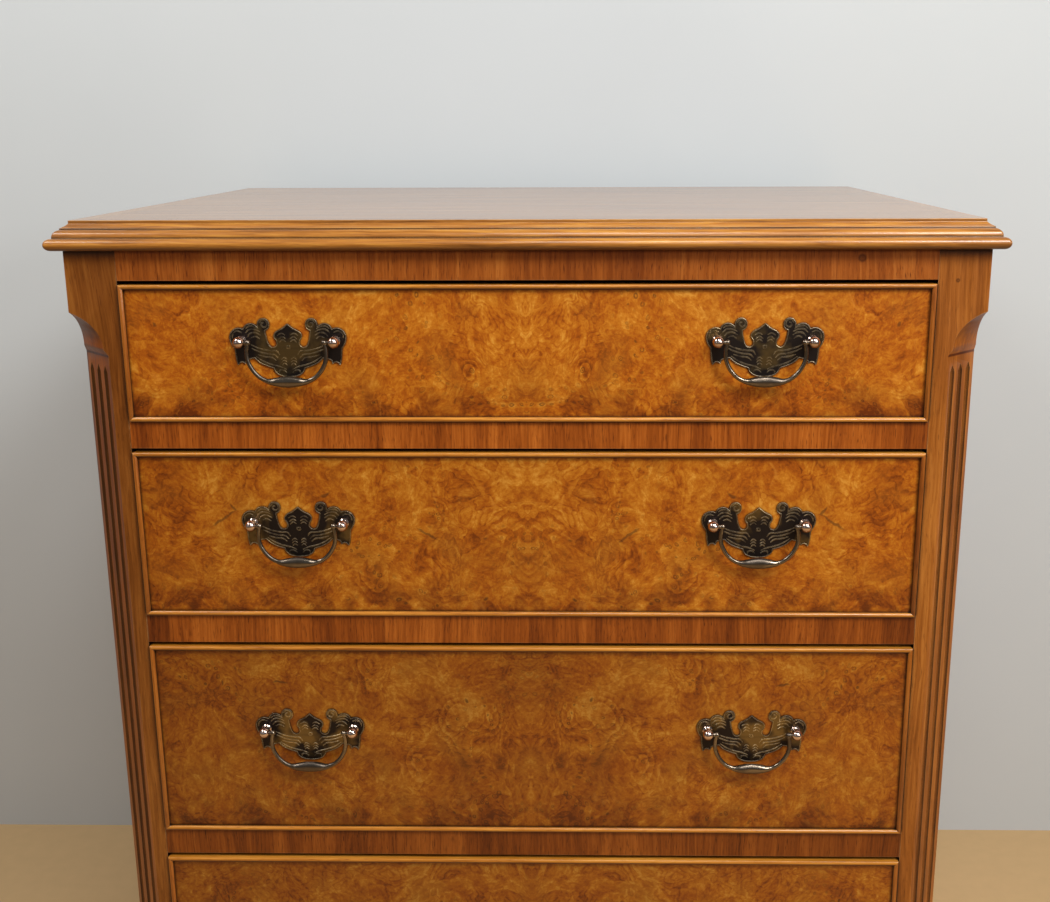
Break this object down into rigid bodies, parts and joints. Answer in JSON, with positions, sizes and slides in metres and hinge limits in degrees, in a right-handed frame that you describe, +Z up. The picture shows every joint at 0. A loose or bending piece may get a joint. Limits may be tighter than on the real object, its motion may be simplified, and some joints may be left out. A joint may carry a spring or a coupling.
{
  "type": "chest of drawers",
  "caption": "Small straight-front walnut bachelor's chest: graduated cock-beaded drawers with swinging brass bails between canted fluted corner posts, moulded top and bracket feet.",
  "frame": {"origin": "on the floor, under the middle of the whole chest with its handles", "axes": "+Z up, -Y out of the drawer fronts, +X to the right as seen from the front"},
  "size_m": [0.6398, 0.4859, 0.762],
  "materials": {
    "walnut": "satin polish, straight grain",
    "burr_walnut": "satin polish, burr figure",
    "lining_wood": "bare, fine sanded",
    "plywood": "bare, thin stain",
    "antique_brass": "dark patina, rubbed bright on edges"
  },
  "bodies": {
    "carcass": {"top_board": "walnut", "top_moulding": "walnut", "top_rail": "walnut", "divider_rail_1": "walnut", "divider_rail_2": "walnut", "divider_rail_3": "walnut", "bottom_rail": "walnut", "side_left": "walnut", "side_right": "walnut", "bottom_board": "lining_wood", "rear_rail": "lining_wood", "back_panel": "plywood", "corner_post_left": "walnut", "corner_post_right": "walnut", "drawer_runners": "lining_wood", "drawer_stops": "lining_wood", "base_frame": "walnut", "front_foot_left": "walnut", "front_foot_right": "walnut", "rear_feet": "walnut"},
    "drawer_1": {"drawer_1_front": "burr_walnut", "drawer_1_side_left": "lining_wood", "drawer_1_side_right": "lining_wood", "drawer_1_back": "lining_wood", "drawer_1_bottom": "plywood", "drawer_1_cock_beads": "walnut", "drawer_1_handle_plates": "antique_brass", "drawer_1_handle_posts": "antique_brass"},
    "drawer_2": {"drawer_2_front": "burr_walnut", "drawer_2_side_left": "lining_wood", "drawer_2_side_right": "lining_wood", "drawer_2_back": "lining_wood", "drawer_2_bottom": "plywood", "drawer_2_cock_beads": "walnut", "drawer_2_handle_plates": "antique_brass", "drawer_2_handle_posts": "antique_brass"},
    "drawer_3": {"drawer_3_front": "burr_walnut", "drawer_3_side_left": "lining_wood", "drawer_3_side_right": "lining_wood", "drawer_3_back": "lining_wood", "drawer_3_bottom": "plywood", "drawer_3_cock_beads": "walnut", "drawer_3_handle_plates": "antique_brass", "drawer_3_handle_posts": "antique_brass"},
    "drawer_4": {"drawer_4_front": "burr_walnut", "drawer_4_side_left": "lining_wood", "drawer_4_side_right": "lining_wood", "drawer_4_back": "lining_wood", "drawer_4_bottom": "plywood", "drawer_4_cock_beads": "walnut", "drawer_4_handle_plates": "antique_brass", "drawer_4_handle_posts": "antique_brass"},
    "bail_1_left": {"drawer_1_bail_left": "antique_brass"},
    "bail_1_right": {"drawer_1_bail_right": "antique_brass"},
    "bail_2_left": {"drawer_2_bail_left": "antique_brass"},
    "bail_2_right": {"drawer_2_bail_right": "antique_brass"},
    "bail_3_left": {"drawer_3_bail_left": "antique_brass"},
    "bail_3_right": {"drawer_3_bail_right": "antique_brass"},
    "bail_4_left": {"drawer_4_bail_left": "antique_brass"},
    "bail_4_right": {"drawer_4_bail_right": "antique_brass"}
  },
  "joints": [
    {"name": "drawer_1_slide", "type": "slide", "parent": "carcass", "child": "drawer_1", "axis": [0, -1, 0], "range_m": [0, 0.33]},
    {"name": "drawer_2_slide", "type": "slide", "parent": "carcass", "child": "drawer_2", "axis": [0, -1, 0], "range_m": [0, 0.33]},
    {"name": "drawer_3_slide", "type": "slide", "parent": "carcass", "child": "drawer_3", "axis": [0, -1, 0], "range_m": [0, 0.33]},
    {"name": "drawer_4_slide", "type": "slide", "parent": "carcass", "child": "drawer_4", "axis": [0, -1, 0], "range_m": [0, 0.33]},
    {"name": "bail_1_left_swing", "type": "hinge", "parent": "drawer_1", "child": "bail_1_left", "pos_m": [-0.1615, -0.23895, 0.6812], "axis": [-1, 0, 0], "range_deg": [0, 95]},
    {"name": "bail_1_right_swing", "type": "hinge", "parent": "drawer_1", "child": "bail_1_right", "pos_m": [0.1615, -0.23895, 0.6812], "axis": [-1, 0, 0], "range_deg": [0, 95]},
    {"name": "bail_2_left_swing", "type": "hinge", "parent": "drawer_2", "child": "bail_2_left", "pos_m": [-0.1615, -0.23895, 0.5519], "axis": [-1, 0, 0], "range_deg": [0, 95]},
    {"name": "bail_2_right_swing", "type": "hinge", "parent": "drawer_2", "child": "bail_2_right", "pos_m": [0.1615, -0.23895, 0.5519], "axis": [-1, 0, 0], "range_deg": [0, 95]},
    {"name": "bail_3_left_swing", "type": "hinge", "parent": "drawer_3", "child": "bail_3_left", "pos_m": [-0.1615, -0.23895, 0.39405], "axis": [-1, 0, 0], "range_deg": [0, 95]},
    {"name": "bail_3_right_swing", "type": "hinge", "parent": "drawer_3", "child": "bail_3_right", "pos_m": [0.1615, -0.23895, 0.39405], "axis": [-1, 0, 0], "range_deg": [0, 95]},
    {"name": "bail_4_left_swing", "type": "hinge", "parent": "drawer_4", "child": "bail_4_left", "pos_m": [-0.1615, -0.23895, 0.21], "axis": [-1, 0, 0], "range_deg": [0, 95]},
    {"name": "bail_4_right_swing", "type": "hinge", "parent": "drawer_4", "child": "bail_4_right", "pos_m": [0.1615, -0.23895, 0.21], "axis": [-1, 0, 0], "range_deg": [0, 95]}
  ]
}
